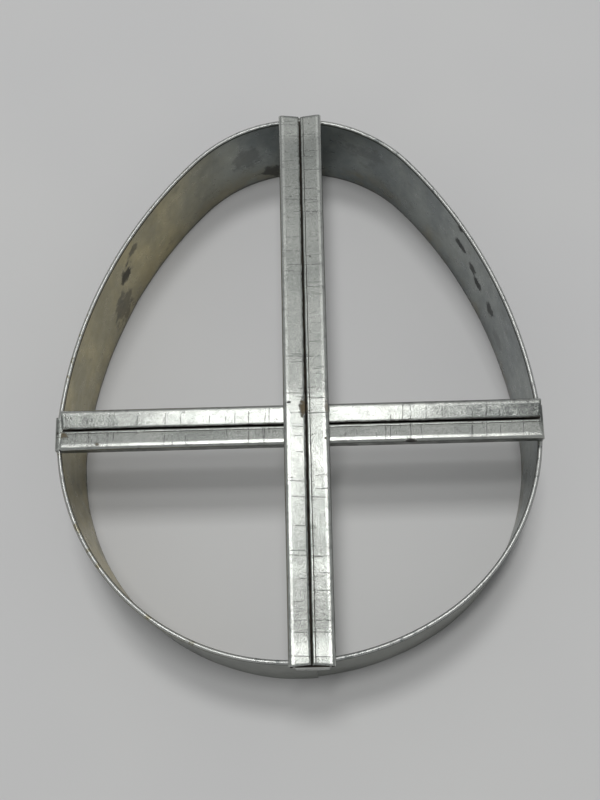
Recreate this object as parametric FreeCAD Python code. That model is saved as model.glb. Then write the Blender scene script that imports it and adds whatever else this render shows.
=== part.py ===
import FreeCAD, Part
import math
import os
from FreeCAD import Vector

# Egg-shaped dough cutter: a tinplate band with a curled top edge, and two folded tinplate
# straps that cross over it as the handle and are soldered down outside the band.
# Millimetres. +X across the egg, +Y towards its small end, +Z up from the cutting edge.

# ---- band ----
egg_length = 151.9            # along Y, on the line of the curled edge
half_width_left = 64.8        # from the long axis to the widest point on each side
half_width_right = 62.3
blunt_radius = 72.1           # across the blunt end
low_radius_left = 60.5        # round the two lower shoulders
low_radius_right = 58.6
side_radius_left = 123.0      # up the two long sides
side_radius_right = 131.0
tip_radius = 41.2             # round the small end
band_height = 33.0
foot_length_gain = 1.6        # the cutting edge is bent to a slightly longer, narrower egg
foot_width_gain = -0.6
foot_shift_x = 0.5            # and it stands a little to one side of the curled edge
foot_shift_y = -1.4
band_sheet = 0.35
curl_diameter = 1.25          # the curled top edge
wall_outer = 0.05             # outside of the wall, from the curl's centreline
lap_angle = 274.0             # direction, in degrees from +X, of the outer lap's free edge
lap_blend_angle = 24.0        # how far round the outer lap swells out of the band
lap_clearance = 0.1           # solder-filled space between the two laps

# ---- straps ----
strap_sheet = 0.35
strap_height = 4.0            # over the folds
long_strap_width = 11.85
cross_strap_width = 10.9
long_strap_x = 0.95           # its centreline, from the egg's long axis
cross_strap_y = 0.15          # its centreline, from the widest part of the egg
fold_radius = 0.9             # outside of the four folds along each strap
crest_width = 1.6             # level strip along each outer fold
crest_bend_radius = 2.0
long_flange_dish = 0.25       # how far the flanges sink from the crests to the seam
cross_flange_dish = 0.4
seam_gap = 0.5
ledge_width = 0.75            # level strip along the turned-in edge, beside the seam
ledge_drop = 0.1              # the small step down to it
ledge_step_run = 0.15
ledge_bend_radius = 0.25      # middle of the sheet, in the step's two slight bends
lip_fold_radius = 0.45        # outside of the fold in the turned-in edge
lip_depth = 0.9               # upright part of the turned-in edge
long_seam_shift = -0.1        # middle of the gap, from the strap's centreline
cross_seam_shift = -0.1
seat_length = 7.0             # level stretch of the long strap from the rim inwards
crown_margin = 1.5            # level stretch past each side of the cross strap
arch_radius = 45.0            # bends of the long strap, on its underside

# ---- ends of the straps: flange ends measured outwards from the curl's centreline ----
tip_flange_reach = -0.35
blunt_flange_reach = 1.4
left_flange_reach = -0.95
right_flange_reach = 0.15
notch_depth = 0.5             # shallow V across each flange end
tab_width = 8.6
tab_drop = 8.5                # below the top of the band
tab_clip = 1.3                # clipped lower corners
tab_clearance = 0.05          # from the curl, and at the blunt end from the outer lap too
tab_bend_radius = 0.75        # outside of the bend over the curl

# ---- solder ----
solder_margin = 1.3           # past the tab, where it meets the band
solder_rim = 0.35             # past the tab, at the solder's outer surface
solder_cover = 0.25           # up the tab's edges, from its inner face
solder_inset = 0.6            # sides of the pad in the crossing, from the straps' sides

curl_radius = curl_diameter / 2
curl_z = band_height - curl_radius
wall_inner = wall_outer - band_sheet
crossing_z = band_height + strap_height
tab_face = curl_radius + tab_clearance
lap_step = band_sheet + lap_clearance
EPS = 1e-7


def meeting_point(centre_a, reach_a, centre_b, reach_b, side):
    """Point at the two given distances from two centres, on the chosen side of their line."""
    line = centre_b - centre_a
    along = (reach_a ** 2 - reach_b ** 2 + line.Length ** 2) / (2 * line.Length)
    across = math.sqrt(reach_a ** 2 - along ** 2)
    unit = Vector(line).normalize()
    return centre_a + unit * along + Vector(-unit.y, unit.x, 0) * (side * across)


def egg_arcs(length_gain=0.0, width_gain=0.0, shift=Vector()):
    """Six tangent arcs, anticlockwise from the blunt end: (centre, radius, start, end)."""
    low_right = Vector(half_width_right + width_gain / 2 - low_radius_right, 0, 0)
    low_left = Vector(low_radius_left - half_width_left - width_gain / 2, 0, 0)
    blunt = meeting_point(low_left, blunt_radius - low_radius_left,
                          low_right, blunt_radius - low_radius_right, 1)
    tip = Vector(0, blunt.y - blunt_radius + egg_length + length_gain - tip_radius, 0)
    side_right = meeting_point(low_right, side_radius_right - low_radius_right,
                               tip, side_radius_right - tip_radius, 1)
    side_left = meeting_point(low_left, side_radius_left - low_radius_left,
                              tip, side_radius_left - tip_radius, -1)
    circles = [(blunt, blunt_radius), (low_right, low_radius_right),
               (side_right, side_radius_right), (tip, tip_radius),
               (side_left, side_radius_left), (low_left, low_radius_left)]
    joints = []
    for (centre_a, radius_a), (centre_b, radius_b) in zip(circles, circles[1:] + circles[:1]):
        out = (centre_b - centre_a) * (1 / (radius_a - radius_b))
        joints.append(math.degrees(math.atan2(out.y, out.x)) % 360)
    arcs = []
    for index, (centre, radius) in enumerate(circles):
        start = joints[index - 1]
        end = start + (joints[index] - start) % 360
        arcs.append((centre + shift, radius, start, end))
    return arcs


def foot_arcs():
    """The same six arcs for the cutting edge."""
    return egg_arcs(foot_length_gain, foot_width_gain, Vector(foot_shift_x, foot_shift_y, 0))


def on_arc(centre, radius, degrees, z=0.0):
    turn = math.radians(degrees)
    return centre + Vector(radius * math.cos(turn), radius * math.sin(turn), z)


def egg_point(arcs, degrees, offset=0.0, z=0.0):
    """Point of the egg whose outward normal has this direction, moved outwards by offset."""
    for centre, radius, start, end in arcs:
        if (degrees - start) % 360 <= end - start:
            return on_arc(centre, radius + offset, degrees, z)


def rim_along(direction, aside):
    """Distance to the curl's centreline along a unit direction, on a line moved aside.

    The line is moved along the direction that lies a quarter turn anticlockwise.
    """
    sideways = Vector(-direction.y, direction.x, 0)
    for centre, radius, start, end in egg_arcs():
        off = aside - centre.dot(sideways)
        if abs(off) >= radius:
            continue
        out = direction * math.sqrt(radius ** 2 - off ** 2) + sideways * off
        degrees = math.degrees(math.atan2(out.y, out.x))
        if (degrees - start) % 360 <= end - start:
            return (centre + out).dot(direction)


def tab_seat(direction, aside):
    """Farthest reach of the curl's centreline across the width of a tab."""
    return max(rim_along(direction, aside + step) for step in (-tab_width / 2, 0, tab_width / 2))


def egg_wire(arcs, offset, z):
    edges = []
    for centre, radius, start, end in arcs:
        points = [on_arc(centre, radius + offset, angle, z)
                  for angle in (start, (start + end) / 2, end)]
        edges.append(Part.Arc(*points).toShape())
    return Part.Wire(edges)


def curled_edge():
    """The roll along the top of the band, one ring segment for each arc of the egg."""
    segments = []
    for centre, radius, start, end in egg_arcs():
        middle = on_arc(centre, radius, start, curl_z)
        tangent = Vector(-math.sin(math.radians(start)), math.cos(math.radians(start)), 0)
        disc = Part.Face(Part.Wire(Part.makeCircle(curl_radius, middle, tangent)))
        segments.append(disc.revolve(centre, Vector(0, 0, 1), end - start))
    return segments[0].fuse(segments[1:])


def outer_lap():
    """Where one end of the band passes over the other: a wedge that grows to a sheet's step."""
    angles = [lap_angle - lap_blend_angle, lap_angle - lap_blend_angle / 2, lap_angle]
    buried = (wall_inner + wall_outer) / 2
    outlines = []
    for arcs, z in ((foot_arcs(), 0), (egg_arcs(), curl_z)):
        inside = [egg_point(arcs, angle, buried, z) for angle in angles]
        outside = [egg_point(arcs, angle, wall_outer + rise, z)
                   for angle, rise in zip(angles, (-band_sheet / 4, lap_step * 0.45, lap_step))]
        outlines.append(Part.Wire([Part.Arc(*inside).toShape(),
                                   Part.LineSegment(inside[2], outside[2]).toShape(),
                                   Part.Arc(*outside[::-1]).toShape(),
                                   Part.LineSegment(outside[0], inside[0]).toShape()]))
    return Part.makeLoft(outlines, True, True)


def band_body(offset):
    """Everything inside a wall surface, from the cutting edge up to the curl."""
    return Part.makeLoft([egg_wire(foot_arcs(), offset, 0), egg_wire(egg_arcs(), offset, curl_z)],
                         True, True)


def cutting_band():
    wall = band_body(wall_outer).cut(band_body(wall_inner))
    return wall.fuse([curled_edge(), outer_lap()]).removeSplitter()


def folded_sheet(points, radii, thickness):
    """Closed outline, in the XY plane, of a sheet whose middle follows a path with bends.

    radii are the bends' middle radii, one for each inner point of the path.
    """
    sides = {1: [], -1: []}
    last = {side: None for side in sides}

    def line_to(side, point):
        if last[side] is not None and (point - last[side]).Length > EPS:
            sides[side].append(Part.LineSegment(last[side], point).toShape())
        last[side] = point

    def normal_of(direction):
        return Vector(-direction.y, direction.x, 0)

    runs = [Vector(b - a).normalize() for a, b in zip(points, points[1:])]
    for side in sides:
        line_to(side, points[0] + normal_of(runs[0]) * (side * thickness / 2))
    for corner, before, after, radius in zip(points[1:-1], runs, runs[1:], radii):
        turn = math.atan2(before.x * after.y - before.y * after.x, before.dot(after))
        hand = 1 if turn > 0 else -1
        setback = radius * math.tan(abs(turn) / 2)
        start = corner - before * setback
        centre = start + normal_of(before) * (hand * radius)
        outwards = [normal_of(before) * -hand, normal_of(after) * -hand]
        outwards.insert(1, (outwards[0] + outwards[1]).normalize())
        for side in sides:
            bend = radius - side * hand * thickness / 2
            arc = [centre + way * bend for way in outwards]
            line_to(side, arc[0])
            sides[side].append(Part.Arc(*arc).toShape())
            last[side] = arc[2]
    for side in sides:
        line_to(side, points[-1] + normal_of(runs[-1]) * (side * thickness / 2))
    first = [points[0] + normal_of(runs[0]) * (side * thickness / 2) for side in (1, -1)]
    caps = [Part.LineSegment(*first).toShape(),
            Part.LineSegment(last[1], last[-1]).toShape()]
    return Part.Wire(Part.__sortEdges__(sides[1] + sides[-1] + caps))


def strap_section(width, seam_shift, dish):
    """Section of a strap: X across it, Y up from its underside.

    A flat base, a fold at each side and two flanges that sink from a level crest towards a
    seam over the middle. The left flange ends square there. The right one steps down to a
    narrow ledge, and its edge is turned down.
    """
    half = strap_sheet / 2
    side = width / 2 - half
    top = strap_height - half
    crest = width / 2 - crest_width
    seam_top = top - dish
    ledge = seam_top - ledge_drop
    gap_left = seam_shift - seam_gap / 2
    gap_right = seam_shift + seam_gap / 2
    lip = gap_right + half
    points = [(gap_left, seam_top), (-crest, top), (-side, top), (-side, half),
              (side, half), (side, top), (crest, top),
              (gap_right + ledge_width + ledge_step_run, seam_top),
              (gap_right + ledge_width, ledge), (lip, ledge), (lip, ledge - lip_depth)]
    folds = [crest_bend_radius] + [fold_radius - half] * 4 + [crest_bend_radius]
    folds += [ledge_bend_radius, ledge_bend_radius, lip_fold_radius - half]
    return folded_sheet([Vector(x, y, 0) for x, y in points], folds, strap_sheet)


def stand_along_y(shape, x, y):
    """Turn an outline drawn in XY so that it stands across a strap that runs along +Y."""
    shape.rotate(Vector(), Vector(1, 0, 0), 90)
    shape.translate(Vector(x, y, band_height))
    return shape


def arched_path(start, end, crown_start, crown_end):
    """Underside of the long strap: level seats, gentle slopes and a level crown."""
    points = [Vector(0, y, z) for y, z in
              ((start, 0), (start + seat_length, 0), (crown_start, strap_height),
               (crown_end, strap_height), (end - seat_length, 0), (end, 0))]
    edges = []
    last = points[0]
    for before, corner, after in zip(points, points[1:], points[2:]):
        arriving = Vector(corner - before).normalize()
        leaving = Vector(after - corner).normalize()
        turn = arriving.getAngle(leaving)
        setback = arch_radius * math.tan(turn / 2)
        bend_start = corner - arriving * setback
        bend_end = corner + leaving * setback
        inwards = Vector(leaving - arriving).normalize()
        middle = corner + inwards * (arch_radius * (1 / math.cos(turn / 2) - 1))
        edges.append(Part.LineSegment(last, bend_start).toShape())
        edges.append(Part.Arc(bend_start, middle, bend_end).toShape())
        last = bend_end
    edges.append(Part.LineSegment(last, points[-1]).toShape())
    return Part.Wire(edges)


def notch(width, y, outwards):
    """Wedge that leaves a shallow V across the flange ends, above the strap's base."""
    reach = 2 * notch_depth
    corners = [(-width / 2, 0), (0, -notch_depth), (width / 2, 0), (width / 2, reach),
               (-width / 2, reach)]
    points = [Vector(x, y + outwards * depth, band_height + strap_sheet) for x, depth in corners]
    outline = Part.makePolygon(points + points[:1])
    return Part.Face(outline).extrude(Vector(0, 0, strap_height))


def tab(rim_y, outwards, flange_end, inner_face):
    """Base of the strap carried over the curl and bent down outside the band."""
    half = strap_sheet / 2
    face = rim_y + outwards * (inner_face + half)
    root = flange_end - outwards * seat_length / 2
    points = [Vector(root * outwards, band_height + half, 0),
              Vector(face * outwards, band_height + half, 0),
              Vector(face * outwards, band_height - tab_drop, 0)]
    profile = folded_sheet(points, [tab_bend_radius - half], strap_sheet)
    blank = Part.Face(profile).extrude(Vector(0, 0, tab_width))
    # the profile is drawn as (outward distance, height): stand it up across the strap
    placement = FreeCAD.Matrix(0, 0, 1, -tab_width / 2, outwards, 0, 0, 0, 0, 1, 0, 0, 0, 0, 0, 1)
    blank = blank.transformGeometry(placement)
    low = band_height - tab_drop
    corners = [(-tab_width, band_height + strap_height), (-tab_width, low + tab_clip),
               (-tab_width / 2, low + tab_clip), (-tab_width / 2 + tab_clip, low),
               (tab_width / 2 - tab_clip, low), (tab_width / 2, low + tab_clip),
               (tab_width, low + tab_clip), (tab_width, band_height + strap_height)]
    span = 4 * seat_length
    points = [Vector(x, face - span / 2, z) for x, z in corners]
    outline = Part.Face(Part.makePolygon(points + points[:1]))
    return blank.common(outline.extrude(Vector(0, span, 0)))


def strap(width, seam_shift, dish, ends, crown=None):
    """A strap along Y at x = 0. ends are (rim, flange reach, tab's inner face), -Y end first."""
    (low_rim, low_reach, low_face), (high_rim, high_reach, high_face) = ends
    start = low_rim - low_reach
    end = high_rim + high_reach
    section = stand_along_y(strap_section(width, seam_shift, dish), 0, start)
    if crown is None:
        body = Part.Face(section).extrude(Vector(0, end - start, 0))
    else:
        path = arched_path(start, end, *crown)
        path.translate(Vector(0, 0, band_height))
        sweep = Part.BRepOffsetAPI.MakePipeShell(path)
        sweep.setBiNormalMode(Vector(1, 0, 0))
        sweep.add(section)
        sweep.build()
        sweep.makeSolid()
        body = sweep.shape()
    body = body.cut([notch(width, start, -1), notch(width, end, 1)])
    tabs = [tab(low_rim, -1, start, low_face), tab(high_rim, 1, end, high_face)]
    return body.fuse(tabs).removeSplitter()


def turn_to_x(shape):
    """Swing a strap built along Y so that it runs along X, its +Y end towards +X."""
    shape.rotate(Vector(), Vector(0, 0, 1), -90)
    return shape


def tab_solder(rim_y, outwards, inner_face):
    """Solder between the band and a tab, spreading past the tab's edges."""
    low = band_height - tab_drop
    high = curl_z

    def outline(margin, depth):
        half = tab_width / 2 + margin
        bottom = low - margin
        cut = tab_clip + margin / 2
        corners = [(-half, high), (-half, bottom + cut), (-half + cut, bottom),
                   (half - cut, bottom), (half, bottom + cut), (half, high)]
        points = [Vector(x, rim_y + outwards * depth, z) for x, z in corners]
        return Part.makePolygon(points + points[:1])

    inner = outline(solder_margin, wall_inner)
    outer = outline(solder_rim, inner_face + solder_cover)
    return Part.makeLoft([inner, outer], True, True)


def crossing_pad():
    """Solder in the dished top of the cross strap, under the long strap."""
    across = cross_strap_width - 2 * (fold_radius + solder_inset)
    along = long_strap_width - 2 * solder_inset
    return Part.makeBox(along, across, cross_flange_dish, Vector(
        long_strap_x - along / 2, cross_strap_y - across / 2, crossing_z - cross_flange_dish))


def largest_solid(shape):
    return max(shape.Solids, key=lambda solid: solid.Volume)


def build():
    blunt_rim = -tab_seat(Vector(0, -1, 0), long_strap_x)
    tip_rim = tab_seat(Vector(0, 1, 0), -long_strap_x)
    left_rim = -tab_seat(Vector(-1, 0, 0), -cross_strap_y)
    right_rim = tab_seat(Vector(1, 0, 0), cross_strap_y)
    crown = (cross_strap_y - cross_strap_width / 2 - crown_margin,
             cross_strap_y + cross_strap_width / 2 + crown_margin)

    band = cutting_band()
    long_strap = strap(long_strap_width, long_seam_shift, long_flange_dish,
                       ((blunt_rim, blunt_flange_reach, tab_face + lap_step),
                        (tip_rim, tip_flange_reach, tab_face)), crown)
    long_strap.translate(Vector(long_strap_x, 0, 0))
    cross_strap = turn_to_x(strap(cross_strap_width, cross_seam_shift, cross_flange_dish,
                                  ((left_rim, left_flange_reach, tab_face),
                                   (right_rim, right_flange_reach, tab_face))))
    cross_strap.translate(Vector(0, cross_strap_y, 0))
    nodes = {"cutting_band": band, "long_strap": long_strap, "cross_strap": cross_strap}

    for name, rim, outwards, face in (("tip_solder", tip_rim, 1, tab_face),
                                      ("blunt_solder", blunt_rim, -1, tab_face + lap_step)):
        solder = tab_solder(rim, outwards, face)
        solder.translate(Vector(long_strap_x, 0, 0))
        nodes[name] = largest_solid(solder.cut([band, long_strap]))
    for name, rim, outwards in (("left_solder", left_rim, -1), ("right_solder", right_rim, 1)):
        solder = turn_to_x(tab_solder(rim, outwards, tab_face))
        solder.translate(Vector(0, cross_strap_y, 0))
        nodes[name] = largest_solid(solder.cut([band, cross_strap]))
    nodes["crossing_solder"] = largest_solid(crossing_pad().cut([long_strap, cross_strap]))

    # the origin is under the middle of the egg, on the surface that the cutter stands on
    whole = Part.makeCompound(list(nodes.values())).optimalBoundingBox(True)
    to_origin = -Vector(whole.Center.x, whole.Center.y, 0)
    for shape in nodes.values():
        shape.translate(to_origin)
    return nodes


os.makedirs("parts", exist_ok=True)
for node, shape in build().items():
    shape.exportStep(os.path.join("parts", node + ".step"))
    box = shape.BoundBox
    print(f"{node:16s} solids {len(shape.Solids)} valid {shape.isValid()} "
          f"volume {shape.Volume:9.2f}  x {box.XMin:.2f}..{box.XMax:.2f}  "
          f"y {box.YMin:.2f}..{box.YMax:.2f}  z {box.ZMin:.2f}..{box.ZMax:.2f}")
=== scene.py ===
"""Looks of the egg-shaped dough cutter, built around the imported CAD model. Metres, row frame."""

import math

import bmesh
import bpy
import numpy as np
from mathutils import Matrix, Vector, noise


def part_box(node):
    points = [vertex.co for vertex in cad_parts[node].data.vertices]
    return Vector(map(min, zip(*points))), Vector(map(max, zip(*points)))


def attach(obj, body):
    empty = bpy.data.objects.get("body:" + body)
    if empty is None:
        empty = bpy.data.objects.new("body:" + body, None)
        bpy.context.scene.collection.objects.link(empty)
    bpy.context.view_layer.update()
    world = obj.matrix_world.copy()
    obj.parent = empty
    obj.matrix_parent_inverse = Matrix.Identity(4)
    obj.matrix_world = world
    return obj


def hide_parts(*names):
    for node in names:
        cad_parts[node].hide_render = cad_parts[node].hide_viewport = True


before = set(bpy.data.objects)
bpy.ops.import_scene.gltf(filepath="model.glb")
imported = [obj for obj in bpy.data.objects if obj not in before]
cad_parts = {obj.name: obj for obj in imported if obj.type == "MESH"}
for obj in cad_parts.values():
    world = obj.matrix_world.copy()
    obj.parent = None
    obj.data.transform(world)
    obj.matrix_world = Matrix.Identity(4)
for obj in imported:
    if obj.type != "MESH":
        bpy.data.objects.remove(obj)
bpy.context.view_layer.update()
MM = 0.001

# The cutter's own sizes, as in the CAD model, in millimetres. Outline coordinates have their
# origin where the egg's long axis crosses its widest part; TO_ROW moves them to the row frame.
HALF_WIDTH_LEFT, HALF_WIDTH_RIGHT = 64.8, 62.3
LOW_RADIUS_LEFT, LOW_RADIUS_RIGHT = 60.5, 58.6
SIDE_RADIUS_LEFT, SIDE_RADIUS_RIGHT = 123.0, 131.0
BLUNT_RADIUS, TIP_RADIUS, EGG_LENGTH = 72.1, 41.2, 151.9
FOOT_LENGTH_GAIN, FOOT_WIDTH_GAIN, FOOT_SHIFT = 1.6, -0.6, (0.5, -1.4)
SHEET = 0.35
CURL_RADIUS = 0.625
WALL_OUTER = 0.05
WALL_INNER = WALL_OUTER - SHEET
LAP_ANGLE, LAP_BLEND, LAP_STEP = 274.0, 24.0, 0.45
LONG_WIDTH, CROSS_WIDTH, STRAP_HEIGHT = 11.85, 10.9, 4.0
LONG_X, CROSS_Y = 0.95, 0.15
FOLD_RADIUS, LIP_FOLD_RADIUS = 0.9, 0.4
CREST_WIDTH, CREST_BEND = 1.6, 2.0
LONG_DISH, CROSS_DISH = 0.25, 0.4
SEAM_GAP, SEAM_SHIFT = 0.42, -0.1
LEDGE_WIDTH, LEDGE_DROP, LEDGE_RUN, LEDGE_BEND, LIP_DEPTH = 0.75, 0.1, 0.15, 0.25, 0.9
SEAT, CROWN_MARGIN, ARCH_RADIUS = 7.0, 1.5, 45.0
TAB_WIDTH, TAB_DROP, TAB_CLIP, TAB_CLEARANCE, TAB_BEND = 8.6, 8.5, 1.3, 0.05, 0.75
NOTCH_DEPTH = 0.5
REACH = {"tip": -0.35, "blunt": 1.4, "left": -0.95, "right": 0.15}

# Mesh detail: steps in millimetres, then counts; and the unevenness of hand work, in millimetres
RIM_STEP, STRAP_STEP, TAB_STEP = 0.55, 0.7, 0.6
WALL_ROWS, CURL_STEPS = 18, 26
DENT, RIPPLE, RIM_NICK = 0.20, 0.08, 0.12

# Marks left by use: middle and half-sizes in outline millimetres, then how strong each is.
LEFT_WALL_MARKS = [((-50.0, 50.5, 21.5), (3.0, 4.5, 4.0), 0.75), ((-52.5, 45.0, 9.0), (4, 6.5, 9), 0.5),
                   ((-47.5, 55.5, 27.0), (2.2, 3.0, 2.0), 0.5), ((-14.5, 88.0, 17.0), (6, 4, 7), 0.35),
                   ((-7.0, 90.5, 5.0), (6, 3, 4.0), 0.7)]
RIGHT_WALL_MARKS = [((45.0, 57.3, 31.0), (1.6, 2.6, 1.6), 0.8), ((46.0, 55.0, 22.5), (2, 3.5, 2.0), 0.75),
                    ((49.2, 50.0, 20.0), (1.6, 3.0, 2.6), 0.7), ((50.7, 46.4, 16.3), (2, 3.0, 2.4), 0.8),
                    ((54.0, 38.5, 15.6), (1.6, 4.2, 3.6), 0.7), ((57.0, 33.0, 9.0), (2.5, 5, 6.0), 0.35),
                    ((20.0, 86.0, 22.0), (9, 5, 5.0), 0.3)]
STRAP_RUST = [((-63.3, -0.9, 37.0), (2.2, 1.6, 1.2), 0.9), ((-53.8, -3.9, 37.0), (0.5, 0.4, 0.6), 0.8),
              ((6.3, 3.4, 40.6), (0.5, 2.6, 0.9), 0.75), ((5.9, -4.9, 40.6), (0.5, 0.5, 0.9), 0.8),
              ((0.3, 3.6, 40.6), (1.3, 2.6, 1.2), 0.95)]
STRAP_DIRT = [((27.9, -5.1, 36.6), (2.0, 0.9, 0.8), 0.95), ((-3.6, 5.0, 40.6), (0.7, 0.5, 0.6), 0.8),
              ((-64.0, -5.2, 36.0), (0.8, 0.6, 1.0), 0.9), ((64.0, 0.6, 36.0), (0.7, 1.4, 1.4), 0.8)]

# Scratches across a strap: gap, width, tilt, longest reach, seed; lengths in millimetres
SCRATCHES = ((6.5, 0.11, 0.05, 6.0, 3.1), (4.1, 0.08, -0.07, 3.2, 7.7),
             (11.0, 0.13, 0.02, 9.0, 5.3))

# The set: lengths in metres, but the camera's place and lens in millimetres. The room's light
# is a strength, and ZENITH_FROM is the height of a direction, from 0 level to 1 overhead.
FLOOR_HALF = 1.5
LAMP_X, LAMP_HEIGHT = -0.04, 1.6
HORIZON_LIGHT, ZENITH_LIGHT, ZENITH_FROM = 0.26, 0.25, 0.95
CAMERA_FORWARD, CAMERA_UP = (-0.0177, 0.28963, -0.95698), (0.02691, 0.95692, 0.28911)
CAMERA_PLACE_MM, CAMERA_LENS = (4.96, -84.79, 339.14), 54.09

BAND_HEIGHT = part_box("cutting_band")[1].z / MM
CURL_Z = BAND_HEIGHT - CURL_RADIUS
TAB_FACE = CURL_RADIUS + TAB_CLEARANCE


# ---------------------------------------------------------------- outline of the egg

def meeting_point(centre_a, reach_a, centre_b, reach_b, side):
    """Point at the two given distances from two centres, on the chosen side of their line."""
    line = centre_b - centre_a
    along = (reach_a ** 2 - reach_b ** 2 + line @ line) / (2 * math.hypot(*line))
    across = math.sqrt(reach_a ** 2 - along ** 2)
    unit = line / math.hypot(*line)
    return centre_a + unit * along + np.array((-unit[1], unit[0])) * (side * across)


def egg_arcs(length_gain=0.0, width_gain=0.0, shift=(0.0, 0.0)):
    """Six tangent arcs, anticlockwise from the blunt end: (centre, radius, start, end)."""
    low_right = np.array((HALF_WIDTH_RIGHT + width_gain / 2 - LOW_RADIUS_RIGHT, 0.0))
    low_left = np.array((LOW_RADIUS_LEFT - HALF_WIDTH_LEFT - width_gain / 2, 0.0))
    blunt = meeting_point(low_left, BLUNT_RADIUS - LOW_RADIUS_LEFT,
                          low_right, BLUNT_RADIUS - LOW_RADIUS_RIGHT, 1)
    tip = np.array((0.0, blunt[1] - BLUNT_RADIUS + EGG_LENGTH + length_gain - TIP_RADIUS))
    side_right = meeting_point(low_right, SIDE_RADIUS_RIGHT - LOW_RADIUS_RIGHT,
                               tip, SIDE_RADIUS_RIGHT - TIP_RADIUS, 1)
    side_left = meeting_point(low_left, SIDE_RADIUS_LEFT - LOW_RADIUS_LEFT,
                              tip, SIDE_RADIUS_LEFT - TIP_RADIUS, -1)
    circles = [(blunt, BLUNT_RADIUS), (low_right, LOW_RADIUS_RIGHT),
               (side_right, SIDE_RADIUS_RIGHT), (tip, TIP_RADIUS),
               (side_left, SIDE_RADIUS_LEFT), (low_left, LOW_RADIUS_LEFT)]
    joints = []
    for (centre_a, radius_a), (centre_b, radius_b) in zip(circles, circles[1:] + circles[:1]):
        out = (centre_b - centre_a) / (radius_a - radius_b)
        joints.append(math.degrees(math.atan2(out[1], out[0])) % 360)
    arcs = []
    for index, (centre, radius) in enumerate(circles):
        start = joints[index - 1]
        arcs.append((centre + shift, radius, start, start + (joints[index] - start) % 360))
    return arcs


RIM = egg_arcs()
FOOT = egg_arcs(FOOT_LENGTH_GAIN, FOOT_WIDTH_GAIN, FOOT_SHIFT)


def heading(degrees):
    turn = math.radians(degrees)
    return np.array((math.cos(turn), math.sin(turn)))


def egg_point(arcs, degrees):
    """Point of the egg whose outward normal has this direction."""
    for centre, radius, start, end in arcs:
        if (degrees - start) % 360 <= end - start:
            return centre + radius * heading(degrees)


def outline_hit(arcs, direction, aside):
    """Where a line moved aside leaves an outline: distance along it, and the outward angle."""
    direction = np.array(direction, float)
    sideways = np.array((-direction[1], direction[0]))
    for centre, radius, start, end in arcs:
        off = aside - centre @ sideways
        if abs(off) >= radius:
            continue
        out = direction * math.sqrt(radius ** 2 - off ** 2) + sideways * off
        angle = math.degrees(math.atan2(out[1], out[0])) % 360
        if (angle - start) % 360 <= end - start:
            return (centre + out) @ direction, angle


def rim_along(direction, aside):
    return outline_hit(RIM, direction, aside)[0]


def tab_seat(direction, aside):
    """Farthest reach of the curl's centreline across the width of a tab."""
    return max(rim_along(direction, aside + step) for step in (-TAB_WIDTH / 2, 0, TAB_WIDTH / 2))


def to_row():
    """Shift from the outline's origin to the row's, from where the cross strap's box lies."""
    low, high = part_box("cross_strap")
    middle = (low + high) / (2 * MM)
    rims = tab_seat((1, 0), CROSS_Y), tab_seat((-1, 0), -CROSS_Y)
    return np.array((middle.x - (rims[0] - rims[1]) / 2, middle.y - CROSS_Y, 0.0))


TO_ROW = to_row()
LONG_RIMS = -tab_seat((0, -1), LONG_X), tab_seat((0, 1), -LONG_X)
CROSS_RIMS = -tab_seat((-1, 0), -CROSS_Y), tab_seat((1, 0), CROSS_Y)


def egg_angles(step):
    """Outward directions, in degrees, of points round the rim about a step apart."""
    angles = []
    for centre, radius, start, end in RIM:
        count = max(4, round(math.radians(end - start) * radius / step))
        angles += [angle % 360 for angle in np.linspace(start, end, count, endpoint=False)]
    return sorted(angles)


# ---------------------------------------------------------------- shape helpers

def smooth_step(value):
    value = np.clip(value, 0.0, 1.0)
    return value * value * (3 - 2 * value)


def wobble(x, y, z, size, seed):
    """Smooth random number in about -1..1 at a point in millimetres, with features this big."""
    return noise.noise(Vector((x / size + 17.3 * seed, y / size - 9.1 * seed, z / size + 4.7 * seed)))


def rounded_path(points, radii, step, bend_steps=5):
    """Samples of a path with round bends: positions and unit directions along it."""
    points = [np.array(p, float) for p in points]
    runs = [(b - a) / np.linalg.norm(b - a) for a, b in zip(points, points[1:])]
    places = []
    headings = []

    def straight(start, end, way):
        count = max(1, round(np.linalg.norm(end - start) / step))
        for share in np.linspace(0, 1, count + 1):
            place = start + (end - start) * share
            if places and np.linalg.norm(place - places[-1]) < 1e-4:
                continue
            places.append(place)
            headings.append(way)

    last = points[0]
    for corner, before, after, radius in zip(points[1:-1], runs, runs[1:], radii):
        turn = math.atan2(before[0] * after[1] - before[1] * after[0], before @ after)
        setback = radius * math.tan(abs(turn) / 2)
        straight(last, corner - before * setback, before)
        side = np.array((-before[1], before[0])) * math.copysign(radius, turn)
        centre = corner - before * setback + side
        for index in range(1, bend_steps + 1):
            part = turn * index / bend_steps
            spin = np.array(((math.cos(part), -math.sin(part)), (math.sin(part), math.cos(part))))
            places.append(centre - spin @ side)
            headings.append(spin @ before)
        last = corner + after * setback
    straight(last, points[-1], runs[-1])
    return np.array(places), np.array(headings)


def new_piece(name, points_mm, faces, sharp=40):
    """A mesh piece from points in outline coordinates, moved to the row frame."""
    mesh = bpy.data.meshes.new(name)
    mesh.from_pydata(((np.asarray(points_mm) + TO_ROW) * MM).tolist(), [], faces)
    mesh.validate()
    mesh.update()
    piece = bpy.data.objects.new(name, mesh)
    bpy.context.scene.collection.objects.link(piece)
    mesh.shade_smooth()
    mesh.set_sharp_from_angle(angle=math.radians(sharp))
    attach(piece, "root")
    return piece


def apply_modifiers(piece):
    """Turn what the modifiers make into the piece's own mesh."""
    graph = bpy.context.evaluated_depsgraph_get()
    final = bpy.data.meshes.new_from_object(piece.evaluated_get(graph))
    piece.modifiers.clear()
    piece.data = final


# ---------------------------------------------------------------- the band

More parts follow.
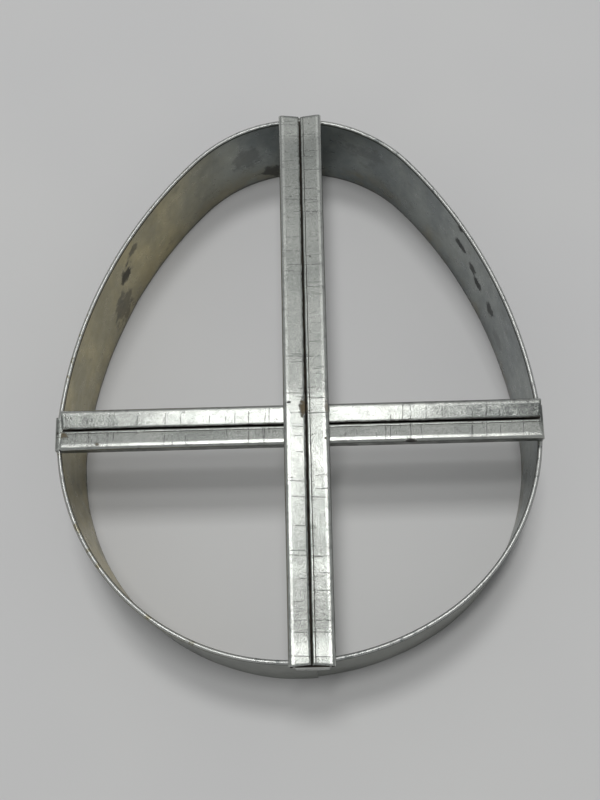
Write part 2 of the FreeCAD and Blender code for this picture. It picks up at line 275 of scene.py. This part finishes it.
def lap_rise(angle):
    """How far the outer lap stands proud of the plain wall at this angle, in millimetres."""
    behind = (LAP_ANGLE - angle) % 360
    if behind > LAP_BLEND:
        return 0.0
    return LAP_STEP * float(smooth_step((LAP_BLEND - behind) / LAP_BLEND * 1.25))


def band_profile():
    """Closed section of the band: (outward distance, height, whether on the outer wall)."""
    profile = [(WALL_INNER, z, 0) for z in np.linspace(0.12, CURL_Z - 0.5, WALL_ROWS)]
    # the roll is a little flattened on top, as a rolled edge is
    for turn in np.radians(np.linspace(222, -95, CURL_STEPS)):
        flat = math.sin(turn) ** 0.75 if 0 < turn < math.pi else math.sin(turn)
        profile.append((CURL_RADIUS * math.cos(turn), CURL_Z + CURL_RADIUS * flat, 0))
    profile.append((WALL_OUTER, CURL_Z - CURL_RADIUS + 0.06, 1))
    profile += [(WALL_OUTER, z, 1) for z in np.linspace(CURL_Z - 1.0, 0.12, WALL_ROWS)]
    profile += [(WALL_OUTER - 0.06, 0.0, 1), (WALL_INNER + 0.06, 0.0, 0)]
    return profile


def make_band():
    angles = egg_angles(RIM_STEP)
    # two stations at the lap's free edge make its step square
    angles = sorted(angles + [LAP_ANGLE - 0.01, LAP_ANGLE + 0.01])
    profile = band_profile()
    vertices = []
    for angle in angles:
        rim, foot, outward = egg_point(RIM, angle), egg_point(FOOT, angle), heading(angle)
        rise = lap_rise(angle)
        nick = RIM_NICK * smooth_step(wobble(rim[0], rim[1], 0, 2.5, 5) * 4 - 1.4)
        for reach, z, outer in profile:
            low = min(1.0, max(0.0, 1 - z / CURL_Z))
            dent = DENT * wobble(rim[0], rim[1], z * 0.7, 23, 1)
            dent += RIPPLE * wobble(rim[0], rim[1], z, 7, 2)
            dent *= smooth_step(low * 4)
            n = reach + dent + (rise if outer else 0)
            if z > CURL_Z:
                z -= nick * (z - CURL_Z) / CURL_RADIUS
            x, y = rim + (foot - rim) * low + outward * n
            vertices.append((x, y, z))
    size = len(profile)
    count = len(angles)
    faces = []
    for a in range(count):
        b = (a + 1) % count
        for i in range(size):
            j = (i + 1) % size
            faces.append((a * size + i, a * size + j, b * size + j, b * size + i))
    band = new_piece("band", vertices, faces, sharp=45)
    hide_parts("cutting_band")
    return band


# ---------------------------------------------------------------- the straps

def strap_section(width, dish):
    """Middle line of a strap's section, from the square flange edge round to the lip."""
    half = SHEET / 2
    side = width / 2 - half
    top = STRAP_HEIGHT - half
    crest = width / 2 - CREST_WIDTH
    seam_top = top - dish
    ledge = seam_top - LEDGE_DROP
    left = SEAM_SHIFT - SEAM_GAP / 2
    right = SEAM_SHIFT + SEAM_GAP / 2
    lip = right + half
    points = [(left, seam_top), (-crest, top), (-side, top), (-side, half), (side, half),
              (side, top), (crest, top), (right + LEDGE_WIDTH + LEDGE_RUN, seam_top),
              (right + LEDGE_WIDTH, ledge), (lip, ledge), (lip, ledge - LIP_DEPTH)]
    folds = [CREST_BEND] + [FOLD_RADIUS - half] * 4 + [CREST_BEND]
    folds += [LEDGE_BEND, LEDGE_BEND, LIP_FOLD_RADIUS - half]
    return rounded_path(points, folds, STRAP_STEP)[0]


def strap_line(start, end, crown):
    """Underside of a strap, as (along, height) above the band: arched where it has a crown."""
    if crown is None:
        return rounded_path([(start, 0), (end, 0)], [], STRAP_STEP)
    low, high = CROSS_Y - crown, CROSS_Y + crown
    points = [(start, 0), (start + SEAT, 0), (low, STRAP_HEIGHT), (high, STRAP_HEIGHT),
              (end - SEAT, 0), (end, 0)]
    return rounded_path(points, [ARCH_RADIUS] * 4, STRAP_STEP, 3)


def tab_columns(section, width):
    """Section points on the flat base that go on into the tab, and their places across it."""
    flat = width / 2 - FOLD_RADIUS
    on_base = [i for i, (x, z) in enumerate(section) if z < SHEET and abs(x) <= flat + 1e-6]
    edge = TAB_WIDTH / 2
    return [i for i in on_base if abs(section[i][0]) <= edge + 0.35], edge


def make_strap(width, dish, rims, reaches, faces_out, crown, seed):
    """A folded strap along its own Y; its tabs go down outside the rims at its two ends."""
    section = strap_section(width, dish)
    start, end = rims[0] - reaches[0], rims[1] + reaches[1]
    line, headings = strap_line(start, end, crown)
    half = SHEET / 2
    bend = TAB_BEND - half
    inside, edge = tab_columns(section, width)
    # the base stops where the tab starts to bend, which may be short of the flange ends
    stops = (max(rims[0] - faces_out[0] - half + bend, start),
             min(rims[1] + faces_out[1] + half - bend, end))
    columns = len(section)
    vertices = []
    faces = []
    for (along, height), (run, climb) in zip(line, headings):
        squeeze = (along - start) / (end - start) * 2 - 1
        for i, (x, z) in enumerate(section):
            share = NOTCH_DEPTH * max(0.0, 1 - abs(x) * 2 / width) * smooth_step((z - 1) / 2)
            y = along - share * squeeze
            if i in inside:
                y += (stops[1] - end) * max(0.0, 1 - (end - along) / SEAT)
                y += (stops[0] - start) * max(0.0, 1 - (along - start) / SEAT)
            lift = 0.10 * wobble(x, y, z, 14, seed) + 0.02 * wobble(x, y, z, 4, seed + 1) - 0.05
            lift *= 1 if z > 1.5 else 0.3
            seam = 0.07 * wobble(x * 0.2, y, z, 5, seed + 2) if abs(x) < 1.5 and z > 1.5 else 0
            vertices.append((x + seam, y - climb * (z + lift),
                             height + BAND_HEIGHT + run * (z + lift)))
    for row in range(len(line) - 1):
        for i in range(columns - 1):
            one = row * columns + i
            faces.append((one, one + columns, one + 1 + columns, one + 1))
    last_row = len(line) - 1
    for row, rim, out, face, stop in ((0, -rims[0], -1, faces_out[0], -stops[0]),
                                      (last_row, rims[1], 1, faces_out[1], stops[1])):
        wall = rim + face + half
        route, _ = rounded_path([(stop, half), (wall, half), (wall, -TAB_DROP)], [bend], TAB_STEP)
        previous = [row * columns + i for i in inside]
        for reach, height in route[1:]:
            low = 1 - smooth_step((height + TAB_DROP) / TAB_CLIP)
            current = []
            for i in inside:
                x = section[i][0] * (1 - low * TAB_CLIP / edge)
                lean = 0.05 * wobble(x, reach, height, 3, seed + 3) - 0.05
                current.append(len(vertices))
                vertices.append((x, (reach + lean * (height < -1)) * out, height + BAND_HEIGHT))
            for i in range(len(inside) - 1):
                quad = (previous[i], current[i], current[i + 1], previous[i + 1])
                faces.append(quad if out > 0 else quad[::-1])
            previous = current
    return vertices, faces, (start, end)


def finish_strap(name, vertices, faces, node, axis, ends):
    strap = new_piece(name, vertices, faces, sharp=50)
    solid = strap.modifiers.new("sheet", "SOLIDIFY")
    solid.thickness = SHEET * MM
    solid.offset = 0.0
    solid.use_even_offset = True
    solid.material_offset = 1
    bevel = strap.modifiers.new("edges", "BEVEL")
    bevel.width = 0.05 * MM
    bevel.segments = 2
    bevel.limit_method = "ANGLE"
    bevel.angle_limit = math.radians(60)
    for _ in ("outside", "inside"):
        strap.data.materials.append(None)
    apply_modifiers(strap)
    # past the flange ends the tab's upper side is out in the open, so it gets the tin too
    low, high = ((end + TO_ROW[axis]) * MM for end in ends)
    for polygon in strap.data.polygons:
        if not low < polygon.center[axis] < high or polygon.center.z < BAND_HEIGHT * MM:
            polygon.material_index = 0
    strap.data.shade_smooth()
    strap.data.set_sharp_from_angle(angle=math.radians(50))
    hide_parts(node)
    return strap


def make_long_strap():
    vertices, faces, ends = make_strap(
        LONG_WIDTH, LONG_DISH, LONG_RIMS, (REACH["blunt"], REACH["tip"]),
        (TAB_FACE + LAP_STEP, TAB_FACE), CROSS_WIDTH / 2 + CROWN_MARGIN, 11)
    moved = [(x + LONG_X, y, z) for x, y, z in vertices]
    return finish_strap("strap_long", moved, faces, "long_strap", 1, ends)


def make_cross_strap():
    vertices, faces, ends = make_strap(
        CROSS_WIDTH, CROSS_DISH, CROSS_RIMS, (REACH["left"], REACH["right"]),
        (TAB_FACE, TAB_FACE), None, 23)
    moved = [(y, CROSS_Y - x, z) for x, y, z in vertices]
    return finish_strap("strap_cross", moved, faces, "cross_strap", 0, ends)


# ---------------------------------------------------------------- solder

def make_solder(name, direction, aside, face, seed):
    """A lumpy fillet of solder between the wall and a tab, thinning out past the tab's edges."""
    margin, cover, columns, rows = 1.15, 0.16, 46, 34
    direction = np.array(direction, float)
    sideways = np.array((-direction[1], direction[0]))
    half, low = TAB_WIDTH / 2, BAND_HEIGHT - TAB_DROP
    tab_plane = tab_seat(direction, aside) + face
    front, back = [], []
    for z in np.linspace(low - margin, CURL_Z - 0.15, rows):
        for s in np.linspace(-half - margin, half + margin, columns):
            rim, angle = outline_hit(RIM, direction, aside + s)
            foot, _ = outline_hit(FOOT, direction, aside + s)
            wall = rim + (foot - rim) * (1 - z / CURL_Z) + WALL_OUTER + lap_rise(angle)
            beyond = math.hypot(max(0.0, abs(s) - half), max(0.0, low - z))
            beyond += max(0.0, 0.5 * (abs(s) - half + TAB_CLIP + low - z))
            ragged = 1 + 0.4 * wobble(s, z, 0, 1.6, seed) + 0.15 * wobble(s, z, 3, 0.6, seed)
            fill = float(smooth_step(1 - beyond * ragged / margin))
            height = (tab_plane + cover - wall) * fill * (1 + 0.12 * wobble(s, z, 5, 1.1, seed))
            height = min(height, tab_plane + cover - wall)
            for points, depth in ((front, wall + height - 0.04), (back, wall - 0.2)):
                points.append((*(direction * depth + sideways * (aside + s)), z))
    count = len(front)
    faces = []
    for row in range(rows - 1):
        for column in range(columns - 1):
            one = row * columns + column
            quad = (one, one + 1, one + columns + 1, one + columns)
            faces += [quad, tuple(count + i for i in quad[::-1])]
    border = list(range(columns))
    border += [row * columns - 1 for row in range(2, rows + 1)]
    border += [(rows - 1) * columns + i for i in range(columns - 2, -1, -1)]
    border += [row * columns for row in range(rows - 2, 0, -1)]
    faces += [(two, one, count + one, count + two)
              for one, two in zip(border, border[1:] + border[:1])]
    piece = new_piece(name, front + back, faces, sharp=60)
    clean = bmesh.new()
    clean.from_mesh(piece.data)
    bmesh.ops.recalc_face_normals(clean, faces=clean.faces)
    clean.to_mesh(piece.data)
    clean.free()
    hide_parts(name.replace("fillet", "solder"))
    return piece


def make_fillets():
    return [make_solder("tip_fillet", (0, 1), -LONG_X, TAB_FACE, 31),
            make_solder("blunt_fillet", (0, -1), LONG_X, TAB_FACE + LAP_STEP, 32),
            make_solder("left_fillet", (-1, 0), -CROSS_Y, TAB_FACE, 33),
            make_solder("right_fillet", (1, 0), CROSS_Y, TAB_FACE, 34)]


# ---------------------------------------------------------------- materials

class Shader:
    """A small helper that adds nodes to a new material and wires them by name."""

    def __init__(self, name):
        self.material = bpy.data.materials.new(name)
        self.material.use_nodes = True
        self.tree = self.material.node_tree
        self.surface = self.tree.nodes["Principled BSDF"]
        self.place = self.add("ShaderNodeTexCoord").outputs["Object"]

    def add(self, kind, settings=None, **inputs):
        node = self.tree.nodes.new(kind)
        for key, value in (settings or {}).items():
            setattr(node, key, value)
        for key, value in inputs.items():
            self.put(node.inputs[int(key[1:])] if key[0] == "i" and key[1:].isdigit()
                     else node.inputs[key.replace("_", " ")], value)
        return node

    def put(self, socket, value):
        if isinstance(value, bpy.types.NodeSocket):
            self.tree.links.new(value, socket)
        else:
            socket.default_value = value

    def noise(self, scale, detail=4.0, roughness=0.6, stretch=(1, 1, 1), distortion=0.0):
        mapping = self.add("ShaderNodeMapping", Vector=self.place, Scale=stretch)
        return self.add("ShaderNodeTexNoise", Vector=mapping.outputs[0], Scale=scale, Detail=detail,
                        Roughness=roughness, Distortion=distortion).outputs[0]

    def remap(self, value, low, high, to_low=0.0, to_high=1.0):
        node = self.add("ShaderNodeMapRange", {"interpolation_type": "SMOOTHSTEP"}, i0=value, i1=low,
                        i2=high, i3=to_low, i4=to_high)
        return node.outputs[0]

    def math(self, operation, a, b=0.0):
        return self.add("ShaderNodeMath", {"operation": operation}, i0=a, i1=b).outputs[0]

    def times(self, a, b):
        return self.math("MULTIPLY", a, b)

    def most(self, a, b):
        return self.math("MAXIMUM", a, b)

    def mix(self, share, a, b):
        node = self.add("ShaderNodeMix", {"data_type": "RGBA"})
        self.put(node.inputs["Factor"], share)
        self.put(node.inputs[6], a if isinstance(a, bpy.types.NodeSocket) else (*a, 1))
        self.put(node.inputs[7], b if isinstance(b, bpy.types.NodeSocket) else (*b, 1))
        return node.outputs[2]

    def marks(self, spots, ragged, grain):
        """Soft-edged blots with ragged outlines: 1 in their middles, 0 away from them."""
        torn = self.times(self.math("SUBTRACT", self.noise(grain, 5, 0.7), 0.5), ragged * 2)
        total = None
        for middle, size, strength in spots:
            moved = self.add("ShaderNodeVectorMath", {"operation": "SUBTRACT"}, i0=self.place,
                             i1=tuple((np.array(middle) + TO_ROW) * MM)).outputs[0]
            scaled = self.add("ShaderNodeVectorMath", {"operation": "DIVIDE"}, i0=moved,
                              i1=tuple(np.array(size) * MM)).outputs[0]
            reach = self.add("ShaderNodeVectorMath", {"operation": "LENGTH"}, i0=scaled)
            blot = self.remap(self.math("ADD", reach.outputs["Value"], torn), 0.55, 1.0, strength, 0)
            total = blot if total is None else self.most(total, blot)
        return total

    def band(self, value, middle_mm, half_mm):
        """1 along a narrow strip where the value is near its middle, 0 outside it."""
        off = self.math("ABSOLUTE", self.math("SUBTRACT", value, middle_mm * MM))
        return self.remap(off, half_mm * 0.5 * MM, half_mm * MM, 1, 0)

    def roughen(self, worn, worst):
        """Raise the roughness already wired in, up to its worst where the surface is worn."""
        socket = self.surface.inputs["Roughness"]
        self.put(socket, self.most(socket.links[0].from_socket, self.times(worn, worst)))

    def bump(self, height, strength, distance_mm, normal=None):
        node = self.add("ShaderNodeBump", Height=height, Strength=strength, Distance=distance_mm * MM)
        if normal is not None:
            self.put(node.inputs["Normal"], normal)
        return node.outputs[0]


def tin_finish(shader, rough, grain=1.0):
    """Fine grain of worn tin plating; returns the grain's normal."""
    speckle = shader.noise(2600, 3, 0.75)
    roughness = shader.remap(shader.noise(260, 5), 0.3, 0.7, rough - 0.04, rough + 0.07)
    shader.put(shader.surface.inputs["Roughness"], roughness)
    shader.surface.inputs["Metallic"].default_value = 1.0
    normal = shader.bump(speckle, 0.8 * grain, 0.035)
    return speckle, shader.bump(shader.noise(420, 4), 0.5, 0.015, normal)


def scratch_lines(shader, along, across, gap_mm, width_mm, tilt, reach, seed):
    """Straight scratches across a strap, at random places and of random lengths."""
    leaning = shader.math("ADD", along, shader.times(across, tilt))
    cells = shader.add("ShaderNodeTexVoronoi", {"voronoi_dimensions": "1D"},
                       W=shader.math("ADD", leaning, seed), Scale=1000 / gap_mm)
    line = shader.remap(cells.outputs["Distance"], width_mm / gap_mm * 0.4, width_mm / gap_mm, 1, 0)
    parts = shader.add("ShaderNodeSeparateColor", i0=cells.outputs["Color"]).outputs
    middle = shader.times(shader.math("SUBTRACT", parts[0], 0.5), 0.011)
    off = shader.math("ABSOLUTE", shader.math("SUBTRACT", across, middle))
    length = shader.times(parts[1], reach * MM)
    kept = shader.remap(shader.math("SUBTRACT", length, off), -0.0001, 0.0004)
    broken = shader.remap(shader.noise(900, 2), 0.38, 0.5)
    return shader.times(line, shader.times(kept, broken))


def ends_painted_dim(shader, along, across, mottled, start_mm, full_mm):
    """Painted shade towards a strap's ends, on the side of its seam where across is negative."""
    far = shader.most(shader.remap(along, start_mm * MM, full_mm * MM),
                      shader.remap(along, -start_mm * MM, -full_mm * MM, 0, 0.4))
    darkened = shader.times(far, shader.remap(shader.noise(120, 5, 0.7), 0.28, 0.5))
    darkened = shader.times(darkened, shader.remap(mottled, 0.36, 0.56, 0.55, 1.0))
    return shader.times(darkened, shader.remap(across, -0.0005, 0.0005, 1, 0))


def strap_material(name, along_axis, width, middle_mm, turn, painted_dim_ends=None):
    """Bright worn tin, scratches across it, marks of rust and dirt, painted shade, a painted highlight on
    the folds.
    """
    shader = Shader(name)
    place = shader.add("ShaderNodeSeparateXYZ", i0=shader.place).outputs
    along = place[along_axis]
    # across is the section's own coordinate, which the cross strap has the other way round
    across = shader.times(shader.math("SUBTRACT", place[1 - along_axis], middle_mm * MM), turn)
    _, normal = tin_finish(shader, 0.2)
    lines = [scratch_lines(shader, along, across, *line) for line in SCRATCHES]
    scratches = shader.most(shader.most(lines[0], lines[1]), lines[2])
    cloudy = shader.remap(shader.noise(70, 5), 0.35, 0.68)
    colour = shader.mix(cloudy, (0.62, 0.64, 0.60), (0.53, 0.555, 0.52))
    mottled = shader.noise(2300, 4, 0.85)
    dark_specks = shader.remap(mottled, 0.50, 0.62)
    colour = shader.mix(shader.times(dark_specks, 0.45), colour, (0.20, 0.20, 0.175))
    # painted shade: the tin is darkened towards the ends, where its reflection is dim
    if painted_dim_ends:
        darkened = ends_painted_dim(shader, along, across, mottled, *painted_dim_ends)
        colour = shader.mix(shader.times(darkened, 0.85), colour, (0.16, 0.17, 0.165))
    up = shader.add("ShaderNodeSeparateXYZ", i0=shader.add("ShaderNodeNewGeometry").outputs["Normal"])
    top = shader.remap(up.outputs[2], 0.5, 0.9)
    # painted shade along the crease at the ledge's step; the strip along the seam is grime
    crease_shade = shader.band(across, LEDGE_WIDTH + SEAM_GAP / 2 + SEAM_SHIFT + 0.08, 0.10)
    crease_shade = shader.times(crease_shade, shader.remap(shader.noise(300, 3), 0.32, 0.48))
    seam = shader.times(shader.band(across, SEAM_SHIFT, 0.55),
                       shader.remap(shader.noise(950, 4, 0.7), 0.47, 0.56))
    crease_shade_and_seam_grime = shader.times(shader.most(crease_shade, seam), top)
    colour = shader.mix(shader.times(crease_shade_and_seam_grime, 0.85), colour, (0.075, 0.06, 0.04))
    pits = shader.remap(shader.noise(800, 4, 0.75), 0.655, 0.69)
    colour = shader.mix(shader.times(pits, 0.85), colour, (0.07, 0.06, 0.045))
    colour = shader.mix(shader.times(scratches, 0.3), colour, (0.2, 0.2, 0.19))
    # painted shade: the strap's steep sides are darkened
    side = shader.times(shader.remap(up.outputs[2], 0.15, 0.62, 1, 0),
                       shader.remap(up.outputs[2], -0.7, -0.4))
    side = shader.times(side, shader.remap(
        shader.math("ABSOLUTE", across), (width / 2 - 0.5) * MM, (width / 2 - 0.2) * MM))
    side = shader.times(side, shader.remap(shader.noise(200, 5, 0.7), 0.3, 0.6, 0.7, 1))
    colour = shader.mix(side, colour, (0.08, 0.085, 0.075))
    # the folds are rubbed bright and carry a painted highlight on their upward faces, with breaks
    rubbed_and_painted_highlight = shader.remap(shader.math("ABSOLUTE", across), (width / 2 - CREST_WIDTH - 0.1) * MM,
                          (width / 2 - CREST_WIDTH + 0.5) * MM)
    rubbed_and_painted_highlight = shader.times(rubbed_and_painted_highlight, shader.remap(up.outputs[2], 0.55, 0.8))
    rubbed_and_painted_highlight = shader.times(rubbed_and_painted_highlight, shader.remap(shader.noise(420, 4, 0.7), 0.36, 0.5, 0.25, 1))
    colour = shader.mix(shader.times(rubbed_and_painted_highlight, 0.7), colour, (0.84, 0.86, 0.81))
    rust = shader.marks(STRAP_RUST, 1.3, 600)
    dirt = shader.marks(STRAP_DIRT, 0.9, 700)
    colour = shader.mix(rust, colour, (0.11, 0.085, 0.045))
    colour = shader.mix(dirt, colour, (0.02, 0.018, 0.014))
    # rust, dirt and half of the painted side shade make the tin less metallic
    rust_dirt_and_side_shade = shader.most(shader.most(rust, dirt), shader.times(side, 0.5))
    matt = shader.math("SUBTRACT", 1.0, rust_dirt_and_side_shade)
    shader.put(shader.surface.inputs["Metallic"], matt)
    worn = shader.math("SUBTRACT", 1.0, matt)
    shader.roughen(worn, 0.75)
    shader.put(shader.surface.inputs["Base Color"], colour)
    normal = shader.bump(mottled, 0.6, 0.018, normal)
    normal = shader.bump(scratches, 1.0, -0.06, normal)
    normal = shader.bump(shader.times(worn, shader.noise(1500, 4)), 1.0, 0.3, normal)
    shader.put(shader.surface.inputs["Normal"], normal)
    return shader.material


def band_material():
    """Duller tin: yellow-brown stain on the left, blue-grey on the right, a painted highlight on the
    curl.
    """
    shader = Shader("tin_band")
    place = shader.add("ShaderNodeSeparateXYZ", i0=shader.place).outputs
    speckle, normal = tin_finish(shader, 0.3)
    cloudy = shader.remap(shader.noise(60, 6, 0.62, (1, 1, 0.5)), 0.38, 0.62)
    warm = shader.mix(cloudy, (0.46, 0.40, 0.22), (0.32, 0.29, 0.18))
    cool = shader.mix(cloudy, (0.29, 0.315, 0.30), (0.20, 0.225, 0.225))
    drift = shader.times(shader.math("SUBTRACT", shader.noise(22, 3), 0.5), 0.05)
    wavering = shader.math("ADD", place[0], drift)
    colour = shader.mix(shader.remap(wavering, -0.045, -0.008), warm, cool)
    stain = shader.times(shader.remap(shader.noise(150, 6, 0.7), 0.56, 0.70), 0.45)
    colour = shader.mix(stain, colour, (0.11, 0.105, 0.08))
    yellow = shader.times(shader.remap(place[2], 0.014, 0.003),
                         shader.remap(shader.noise(90, 4), 0.45, 0.62))
    colour = shader.mix(shader.times(yellow, 0.4), colour, (0.30, 0.25, 0.13))
    dark_specks = shader.remap(speckle, 0.58, 0.70)
    colour = shader.mix(shader.times(dark_specks, 0.4), colour, (0.09, 0.09, 0.075))
    # painted shade along the wall's foot, where it meets the floor
    painted_foot_shade = shader.remap(place[2], 0.0004, 0.0016, 0.55, 0.0)
    colour = shader.mix(painted_foot_shade, colour, (0.06, 0.06, 0.05))
    marks = shader.most(shader.marks(LEFT_WALL_MARKS, 1.5, 230),
                        shader.marks(RIGHT_WALL_MARKS, 1.5, 230))
    colour = shader.mix(marks, colour, (0.03, 0.03, 0.032))
    facing = shader.add("ShaderNodeNewGeometry").outputs["Normal"]
    from_middle = shader.add("ShaderNodeVectorMath", {"operation": "NORMALIZE"}, i0=shader.place)
    outward = shader.add("ShaderNodeVectorMath", {"operation": "DOT_PRODUCT"},
                         i0=facing, i1=from_middle.outputs[0]).outputs["Value"]
    # painted shade: the outer wall below the curl is darker than the inner
    outside = shader.times(shader.remap(outward, 0.15, 0.45),
                          shader.remap(place[2], CURL_Z * MM, CURL_Z * MM - 0.0004))
    shaded_outside_tone = shader.mix(cloudy, (0.22, 0.23, 0.205), (0.14, 0.147, 0.13))
    colour = shader.mix(outside, colour, shaded_outside_tone)
    up = shader.add("ShaderNodeSeparateXYZ", i0=facing).outputs[2]
    curl = shader.remap(place[2], (CURL_Z - 0.9) * MM, (CURL_Z - 0.5) * MM)
    # painted shade on the sides and underside of the curl
    painted_curl_shade = shader.times(curl, shader.remap(up, 0.25, 0.65, 1, 0))
    colour = shader.mix(painted_curl_shade, colour, (0.05, 0.055, 0.045))
    # painted highlight along the top of the curl
    painted_curl_highlight = shader.times(shader.times(curl, shader.remap(up, 0.5, 0.8)),
                       shader.remap(shader.noise(340, 4, 0.7), 0.36, 0.46, 0.25, 1))
    colour = shader.mix(painted_curl_highlight, colour, (0.72, 0.73, 0.70))
    darkened = shader.most(shader.times(outside, 0.4),
                       shader.most(painted_curl_shade, marks))
    shader.put(shader.surface.inputs["Metallic"], shader.math("SUBTRACT", 1.0, darkened))
    shader.roughen(darkened, 0.95)
    shader.put(shader.surface.inputs["Base Color"], colour)
    normal = shader.bump(shader.noise(700, 4), 0.5, 0.05, normal)
    shader.put(shader.surface.inputs["Normal"], normal)
    return shader.material


def solder_material():
    shader = Shader("solder_grey")
    _, normal = tin_finish(shader, 0.34, 0.6)
    cloudy = shader.remap(shader.noise(500, 4), 0.35, 0.65)
    colour = shader.mix(cloudy, (0.40, 0.40, 0.38), (0.22, 0.215, 0.19))
    flux = shader.remap(shader.noise(260, 5, 0.7), 0.55, 0.68)
    colour = shader.mix(shader.times(flux, 0.7), colour, (0.10, 0.08, 0.05))
    shader.put(shader.surface.inputs["Base Color"], colour)
    shader.put(shader.surface.inputs["Normal"], shader.bump(shader.noise(900, 3), 0.7, 0.08, normal))
    return shader.material


def inside_material():
    """Painted shade inside the hollow folded straps: nearly black tin."""
    shader = Shader("strap_inside")
    _, normal = tin_finish(shader, 0.55)
    cloudy = shader.remap(shader.noise(400, 5), 0.35, 0.65)
    shader.put(shader.surface.inputs["Base Color"],
               shader.mix(cloudy, (0.06, 0.05, 0.035), (0.02, 0.018, 0.014)))
    shader.surface.inputs["Metallic"].default_value = 0.3
    shader.put(shader.surface.inputs["Normal"], normal)
    return shader.material


def assign(piece, *materials):
    for index, material in enumerate(materials):
        if index < len(piece.data.materials):
            piece.data.materials[index] = material
        else:
            piece.data.materials.append(material)


# ---------------------------------------------------------------- set

def make_floor():
    mesh = bpy.data.meshes.new("floor")
    corners = [(x * FLOOR_HALF, y * FLOOR_HALF, 0) for x, y in ((-1, -1), (1, -1), (1, 1), (-1, 1))]
    mesh.from_pydata(corners, [], [(0, 1, 2, 3)])
    floor = bpy.data.objects.new("floor", mesh)
    bpy.context.scene.collection.objects.link(floor)
    shader = Shader("floor_paper")
    tone = shader.remap(shader.noise(6, 3), 0.3, 0.7)
    shader.put(shader.surface.inputs["Base Color"],
               shader.mix(tone, (0.60, 0.60, 0.60), (0.63, 0.63, 0.62)))
    shader.surface.inputs["Roughness"].default_value = 0.8
    assign(floor, shader.material)


def add_panel(name, place, aim, size, watts):
    data = bpy.data.lights.new(name, "AREA")
    data.shape = "RECTANGLE"
    data.size, data.size_y = size
    data.energy = watts
    lamp = bpy.data.objects.new(name, data)
    lamp.location = place
    lamp.rotation_euler = (Vector(aim) - Vector(place)).to_track_quat("-Z", "Y").to_euler()
    bpy.context.scene.collection.objects.link(lamp)
    return lamp


def make_lights():
    overhead = add_panel("lamp_overhead", (LAMP_X, 0.028, LAMP_HEIGHT), (0, 0, 0), (0.36, 0.12), 7.2)
    behind = add_panel("lamp_behind", (LAMP_X, 0.444, LAMP_HEIGHT), (0, 0, 0), (0.36, 0.26), 8.0)
    for lamp in (overhead, behind):
        lamp.visible_glossy = False
    # what the tin mirrors: a wide soft panel that takes in both lamps, and dimmer wall beyond
    for name, y, width, depth, radiance in (("panel_mirrored", 0.21, 0.37, 0.66, 3.5),
                                            ("panel_dim", 0.86, 1.2, 0.62, 0.31)):
        panel = add_panel(name, (LAMP_X, y, LAMP_HEIGHT), (LAMP_X, y, 0), (width, depth), 1)
        panel.visible_diffuse = False
        panel.data.energy = radiance * math.pi * width * depth
    world = bpy.data.worlds.new("studio")
    world.use_nodes = True
    tree = world.node_tree
    background = tree.nodes["Background"]
    background.inputs["Color"].default_value = (0.97, 0.985, 1.0, 1)
    # a plain room, very slightly brighter at the horizon than overhead
    way = tree.nodes.new("ShaderNodeTexCoord")
    split = tree.nodes.new("ShaderNodeSeparateXYZ")
    fade = tree.nodes.new("ShaderNodeMapRange")
    tree.links.new(way.outputs["Generated"], split.inputs[0])
    tree.links.new(split.outputs[2], fade.inputs[0])
    for index, value in enumerate((0.0, ZENITH_FROM, HORIZON_LIGHT, ZENITH_LIGHT), 1):
        fade.inputs[index].default_value = value
    tree.links.new(fade.outputs[0], background.inputs["Strength"])
    bpy.context.scene.world = world
    bpy.context.scene.view_settings.view_transform = "Standard"


def make_camera():
    """Seen from above the blunt end, from arm's length."""
    forward = Vector(CAMERA_FORWARD).normalized()
    right = forward.cross(Vector(CAMERA_UP)).normalized()
    up = right.cross(forward)
    data = bpy.data.cameras.new("camera")
    data.sensor_fit = "VERTICAL"
    data.sensor_height = 36.0
    data.lens = CAMERA_LENS
    data.clip_start = 0.01
    camera = bpy.data.objects.new("camera", data)
    place = (np.array(CAMERA_PLACE_MM) + TO_ROW) * MM
    turn = Matrix((right, up, -forward)).transposed().to_4x4()
    camera.matrix_world = Matrix.Translation(Vector(place)) @ turn
    bpy.context.scene.collection.objects.link(camera)
    bpy.context.scene.camera = camera


make_camera()
make_lights()
make_floor()
band = make_band()
long_strap, cross_strap = make_long_strap(), make_cross_strap()
fillets = make_fillets()
# the straps' inner sides get painted shade
strap_hollow_shade = inside_material()
solder = solder_material()
assign(band, band_material())
assign(long_strap,
       strap_material("tin_long", 1, LONG_WIDTH, LONG_X + TO_ROW[0], 1), strap_hollow_shade)
assign(cross_strap,
       strap_material("tin_cross", 0, CROSS_WIDTH, CROSS_Y + TO_ROW[1], -1, (22, 50)), strap_hollow_shade)
for fillet in fillets:
    assign(fillet, solder)
assign(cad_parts["crossing_solder"], solder)
